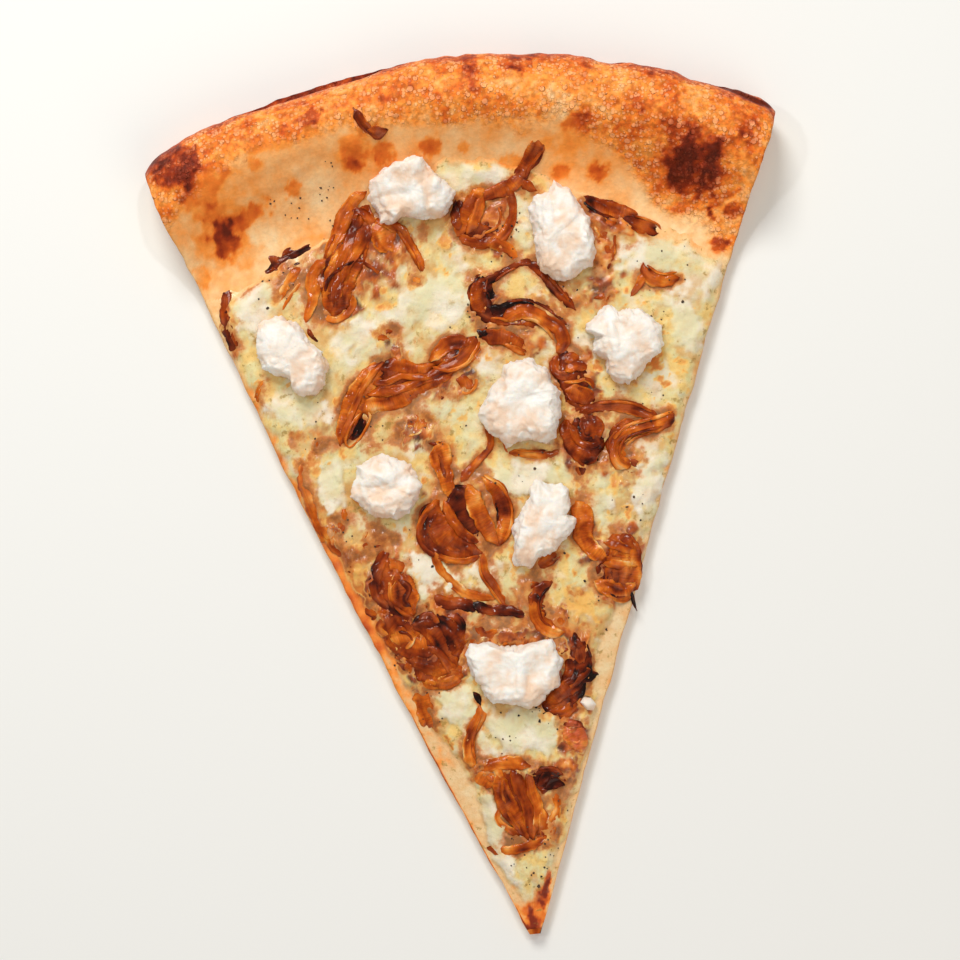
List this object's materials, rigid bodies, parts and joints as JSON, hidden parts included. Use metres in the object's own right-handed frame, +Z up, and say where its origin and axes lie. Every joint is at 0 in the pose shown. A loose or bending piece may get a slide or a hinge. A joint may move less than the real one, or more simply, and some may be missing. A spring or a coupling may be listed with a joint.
{
  "type": "pizza slice",
  "caption": "Large thin-crust pizza slice with a puffed rim, melted cheese, caramelized onion strands and ricotta dollops.",
  "frame": {"origin": "bottom centre of the slice's bounding box, on its flat underside", "axes": "+Y from the tip to the crust, +Z up out of the cheese, +X to the right seen from above with the crust at the top"},
  "size_m": [0.1696, 0.2362, 0.021],
  "materials": {
    "crust": "baked dough, matte",
    "cheese": "melted cheese, satin",
    "ricotta": "soft curd, matte",
    "onion": "caramelized, glossy"
  },
  "bodies": {
    "root": {"dough": "crust", "cheese": "cheese", "ricotta_1": "ricotta", "ricotta_2": "ricotta", "ricotta_3": "ricotta", "ricotta_4": "ricotta", "ricotta_5": "ricotta", "ricotta_6": "ricotta", "ricotta_7": "ricotta", "ricotta_8": "ricotta", "ricotta_9": "ricotta", "onion_1": "onion", "onion_2": "onion", "onion_3": "onion", "onion_4": "onion", "onion_5": "onion", "onion_6": "onion", "onion_7": "onion", "onion_8": "onion", "onion_9": "onion", "onion_10": "onion", "onion_11": "onion", "onion_12": "onion", "onion_13": "onion", "onion_14": "onion", "onion_15": "onion", "onion_16": "onion", "onion_17": "onion", "onion_18": "onion", "onion_19": "onion", "onion_20": "onion", "onion_21": "onion", "onion_22": "onion", "onion_23": "onion", "onion_24": "onion", "onion_25": "onion", "onion_26": "onion", "onion_27": "onion"}
  },
  "joints": []
}
